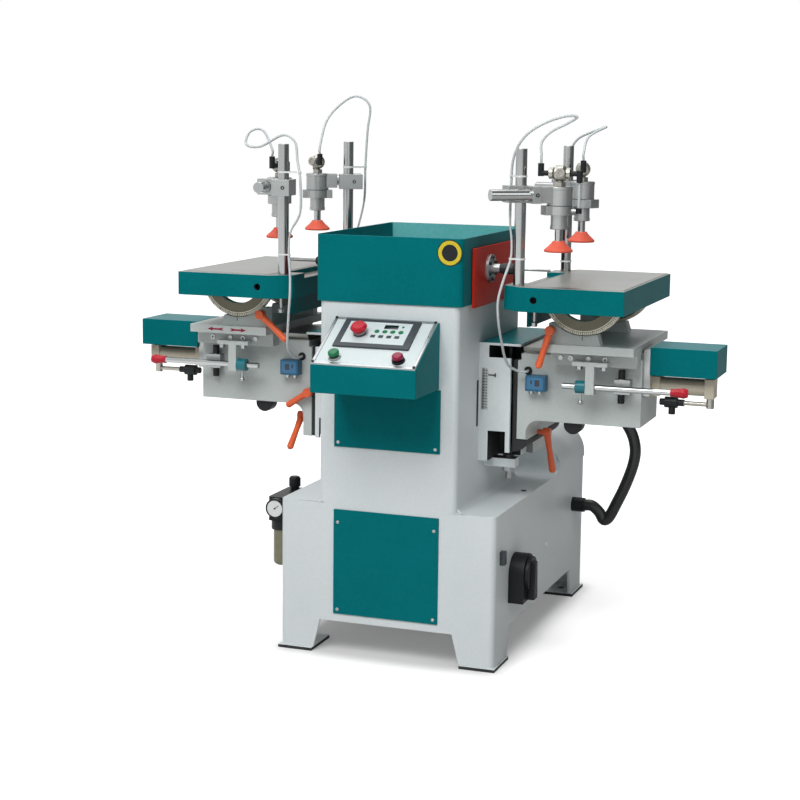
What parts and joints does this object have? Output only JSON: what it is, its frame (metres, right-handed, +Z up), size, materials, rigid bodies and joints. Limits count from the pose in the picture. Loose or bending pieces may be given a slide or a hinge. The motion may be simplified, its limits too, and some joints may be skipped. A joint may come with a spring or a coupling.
{
  "type": "double-end tenoning machine",
  "caption": "Floor-standing double-end slot-mortising and tenoning machine with mirrored tilting tables, pneumatic clamps, oscillating spindle and sloped control console.",
  "frame": {"origin": "on the floor at the middle of the four anchor holes", "axes": "+X to the machine's right as seen from the console, +Y to the back, +Z up"},
  "size_m": [1.468, 0.9936, 1.3309],
  "materials": {
    "grey_paint": "satin",
    "green_paint": "satin",
    "panel_sheet": "satin",
    "red_plastic": "gloss",
    "green_plastic": "gloss",
    "black_plastic": "matte",
    "valve_metal": "satin",
    "hose_rubber": "satin",
    "machined_steel": "brushed",
    "cast_iron": "satin",
    "red_paint": "satin",
    "teal_knob": "satin",
    "orange_plastic": "satin",
    "bare_casting": "satin",
    "chrome_bar": "polished",
    "clamp_metal": "satin",
    "pad_orange": "matte",
    "tube_plastic": "clear"
  },
  "bodies": {
    "frame": {"base_column": "grey_paint", "front_panels": "green_paint", "hood": "green_paint", "console_box": "green_paint", "console_panel": "panel_sheet", "main_switch_body": "black_plastic", "air_service_unit": "valve_metal", "dust_hose": "hose_rubber", "slide_guides": "grey_paint", "carriage_guide": "machined_steel"},
    "carriage": {"spindle_carriage": "cast_iron", "shield_plates": "red_paint"},
    "spindle": {"spindle": "machined_steel", "cutter_chucks": "machined_steel"},
    "emergency_stop": {"emergency_stop": "red_plastic"},
    "start_button": {"start_button": "green_plastic"},
    "stop_button": {"stop_button": "red_plastic"},
    "main_switch_handle": {"main_switch_handle": "black_plastic"},
    "regulator_knob": {"regulator_knob": "black_plastic"},
    "right_knee": {"right_knee": "grey_paint", "right_end_cover": "green_paint", "right_feed_gear": "valve_metal"},
    "right_lift_screw": {"right_lift_screw": "machined_steel"},
    "right_saddle": {"right_saddle": "grey_paint"},
    "right_table": {"right_table": "green_paint", "right_tilt_arcs": "bare_casting", "right_air_tubes": "tube_plastic"},
    "right_stop_rod": {"right_stop_rod": "machined_steel"},
    "right_stop_collar": {"right_stop_collar": "teal_knob"},
    "right_tilt_lever": {"right_tilt_lever": "orange_plastic"},
    "right_knee_lever": {"right_knee_lever": "orange_plastic"},
    "left_knee": {"left_knee": "grey_paint", "left_end_cover": "green_paint", "left_feed_gear": "valve_metal"},
    "left_lift_screw": {"left_lift_screw": "machined_steel"},
    "left_saddle": {"left_saddle": "grey_paint"},
    "left_table": {"left_table": "green_paint", "left_tilt_arcs": "bare_casting", "left_air_tubes": "tube_plastic"},
    "left_stop_rod": {"left_stop_rod": "machined_steel"},
    "left_stop_collar": {"left_stop_collar": "teal_knob"},
    "left_tilt_lever": {"left_tilt_lever": "orange_plastic"},
    "left_knee_lever": {"left_knee_lever": "orange_plastic"},
    "left_lock_lever": {"left_lock_lever": "orange_plastic"},
    "right_front_post": {"right_front_post": "chrome_bar"},
    "right_front_block": {"right_front_block": "cast_iron"},
    "right_front_arm": {"right_front_arm": "clamp_metal"},
    "right_front_piston": {"right_front_piston": "pad_orange"},
    "right_rear_post": {"right_rear_post": "chrome_bar"},
    "right_rear_block": {"right_rear_block": "cast_iron"},
    "right_rear_arm": {"right_rear_arm": "clamp_metal"},
    "right_rear_piston": {"right_rear_piston": "pad_orange"},
    "left_front_post": {"left_front_post": "chrome_bar"},
    "left_front_block": {"left_front_block": "cast_iron"},
    "left_front_arm": {"left_front_arm": "clamp_metal"},
    "left_front_piston": {"left_front_piston": "pad_orange"},
    "left_rear_post": {"left_rear_post": "chrome_bar"},
    "left_rear_block": {"left_rear_block": "cast_iron"},
    "left_rear_arm": {"left_rear_arm": "clamp_metal"},
    "left_rear_piston": {"left_rear_piston": "pad_orange"}
  },
  "joints": [
    {"name": "carriage_stroke", "type": "slide", "parent": "frame", "child": "carriage", "axis": [0, 1, 0], "range_m": [0, 0.08]},
    {"name": "spindle_turn", "type": "hinge", "parent": "carriage", "child": "spindle", "pos_m": [0, -0.234, 0.929], "axis": [1, 0, 0], "continuous": true},
    {"name": "emergency_stop_press", "type": "slide", "parent": "frame", "child": "emergency_stop", "axis": [0, 0.5021, -0.8648], "range_m": [0, 0.004], "stiffness_N_per_m": 900},
    {"name": "start_button_press", "type": "slide", "parent": "frame", "child": "start_button", "axis": [0, 0.5021, -0.8648], "range_m": [0, 0.004], "stiffness_N_per_m": 900},
    {"name": "stop_button_press", "type": "slide", "parent": "frame", "child": "stop_button", "axis": [0, 0.5021, -0.8648], "range_m": [0, 0.004], "stiffness_N_per_m": 900},
    {"name": "main_switch_turn", "type": "hinge", "parent": "frame", "child": "main_switch_handle", "pos_m": [0.27, -0.252, 0.204], "axis": [1, 0, 0], "range_deg": [0, 90]},
    {"name": "regulator_turn", "type": "hinge", "parent": "frame", "child": "regulator_knob", "pos_m": [-0.325, -0.2, 0.345], "axis": [0, 0, 1], "range_deg": [-360, 360]},
    {"name": "right_lift", "type": "slide", "parent": "frame", "child": "right_knee", "axis": [0, 0, 1], "range_m": [-0.045, 0.01]},
    {"name": "right_screw_turn", "type": "hinge", "parent": "frame", "child": "right_lift_screw", "pos_m": [0.229, -0.18, 0.446], "axis": [0, 0, 1], "range_deg": [-601, 2701]},
    {"name": "right_feed", "type": "slide", "parent": "right_knee", "child": "right_saddle", "axis": [-1, 0, 0], "range_m": [0, 0.06]},
    {"name": "right_tilt", "type": "hinge", "parent": "right_saddle", "child": "right_table", "pos_m": [0.435, -0.14, 0.885], "axis": [0, -1, 0], "range_deg": [-6, 15]},
    {"name": "right_stop_slide", "type": "slide", "parent": "right_saddle", "child": "right_stop_rod", "axis": [1, 0, 0], "range_m": [-0.03, 0.03]},
    {"name": "right_collar_turn", "type": "hinge", "parent": "right_saddle", "child": "right_stop_collar", "pos_m": [0.43, -0.286, 0.668], "axis": [1, 0, 0], "range_deg": [-40, 40]},
    {"name": "right_tilt_lock", "type": "hinge", "parent": "right_saddle", "child": "right_tilt_lever", "pos_m": [0.364, -0.315, 0.8], "axis": [0, -1, 0], "range_deg": [-40, 40]},
    {"name": "right_knee_lock", "type": "hinge", "parent": "right_knee", "child": "right_knee_lever", "pos_m": [0.287, -0.131, 0.527], "axis": [1, 0, 0], "range_deg": [-35, 35]},
    {"name": "left_lift", "type": "slide", "parent": "frame", "child": "left_knee", "axis": [0, 0, 1], "range_m": [-0.045, 0.01]},
    {"name": "left_screw_turn", "type": "hinge", "parent": "frame", "child": "left_lift_screw", "pos_m": [-0.229, -0.18, 0.446], "axis": [0, 0, 1], "range_deg": [-601, 2701]},
    {"name": "left_feed", "type": "slide", "parent": "left_knee", "child": "left_saddle", "axis": [1, 0, 0], "range_m": [0, 0.06]},
    {"name": "left_tilt", "type": "hinge", "parent": "left_saddle", "child": "left_table", "pos_m": [-0.435, -0.14, 0.885], "axis": [0, 1, 0], "range_deg": [-6, 15]},
    {"name": "left_stop_slide", "type": "slide", "parent": "left_saddle", "child": "left_stop_rod", "axis": [-1, 0, 0], "range_m": [-0.03, 0.03]},
    {"name": "left_collar_turn", "type": "hinge", "parent": "left_saddle", "child": "left_stop_collar", "pos_m": [-0.43, -0.286, 0.668], "axis": [-1, 0, 0], "range_deg": [-40, 40]},
    {"name": "left_tilt_lock", "type": "hinge", "parent": "left_saddle", "child": "left_tilt_lever", "pos_m": [-0.364, -0.315, 0.8], "axis": [0, 1, 0], "range_deg": [-40, 40]},
    {"name": "left_knee_lock", "type": "hinge", "parent": "left_knee", "child": "left_knee_lever", "pos_m": [-0.287, -0.192, 0.535], "axis": [-1, 0, 0], "range_deg": [-35, 35]},
    {"name": "left_lock", "type": "hinge", "parent": "left_knee", "child": "left_lock_lever", "pos_m": [-0.268, -0.238, 0.604], "axis": [0, -1, 0], "range_deg": [-30, 30]},
    {"name": "right_front_swivel", "type": "hinge", "parent": "right_table", "child": "right_front_post", "pos_m": [0.293, -0.347, 0.904], "axis": [0, 0, 1], "range_deg": [-25, 25], "deforming": ["right_air_tubes"]},
    {"name": "right_front_height", "type": "slide", "parent": "right_front_post", "child": "right_front_block", "axis": [0, 0, 1], "range_m": [-0.04, 0.06]},
    {"name": "right_front_reach", "type": "slide", "parent": "right_front_block", "child": "right_front_arm", "axis": [0.788, 0.6157, 0], "range_m": [0, 0.04]},
    {"name": "right_front_piston_stroke", "type": "slide", "parent": "right_front_arm", "child": "right_front_piston", "axis": [0, 0, -1], "range_m": [0, 0.035]},
    {"name": "right_rear_swivel", "type": "hinge", "parent": "right_table", "child": "right_rear_post", "pos_m": [0.293, 0.069, 0.904], "axis": [0, 0, 1], "range_deg": [-25, 25]},
    {"name": "right_rear_height", "type": "slide", "parent": "right_rear_post", "child": "right_rear_block", "axis": [0, 0, 1], "range_m": [-0.04, 0.06]},
    {"name": "right_rear_reach", "type": "slide", "parent": "right_rear_block", "child": "right_rear_arm", "axis": [0.9304, -0.3665, 0], "range_m": [0, 0.04]},
    {"name": "right_rear_piston_stroke", "type": "slide", "parent": "right_rear_arm", "child": "right_rear_piston", "axis": [0, 0, -1], "range_m": [0, 0.035]},
    {"name": "left_front_swivel", "type": "hinge", "parent": "left_table", "child": "left_front_post", "pos_m": [-0.293, -0.347, 0.904], "axis": [0, 0, -1], "range_deg": [-25, 5], "deforming": ["left_air_tubes"]},
    {"name": "left_front_height", "type": "slide", "parent": "left_front_post", "child": "left_front_block", "axis": [0, 0, 1], "range_m": [-0.04, 0.06]},
    {"name": "left_front_reach", "type": "slide", "parent": "left_front_block", "child": "left_front_arm", "axis": [-0.1219, 0.9925, 0], "range_m": [-0.04, 0.015]},
    {"name": "left_front_piston_stroke", "type": "slide", "parent": "left_front_arm", "child": "left_front_piston", "axis": [0, 0, -1], "range_m": [0, 0.035]},
    {"name": "left_rear_swivel", "type": "hinge", "parent": "left_table", "child": "left_rear_post", "pos_m": [-0.293, 0.069, 0.904], "axis": [0, 0, -1], "range_deg": [-25, 25]},
    {"name": "left_rear_height", "type": "slide", "parent": "left_rear_post", "child": "left_rear_block", "axis": [0, 0, 1], "range_m": [-0.04, 0.06]},
    {"name": "left_rear_reach", "type": "slide", "parent": "left_rear_block", "child": "left_rear_arm", "axis": [-0.9063, -0.4226, 0], "range_m": [0, 0.03]},
    {"name": "left_rear_piston_stroke", "type": "slide", "parent": "left_rear_arm", "child": "left_rear_piston", "axis": [0, 0, -1], "range_m": [0, 0.035]}
  ],
  "couplings": [
    {"joint": "right_screw_turn", "follows": "right_lift", "rad_per_m": -1047.2},
    {"joint": "left_screw_turn", "follows": "left_lift", "rad_per_m": -1047.2}
  ]
}
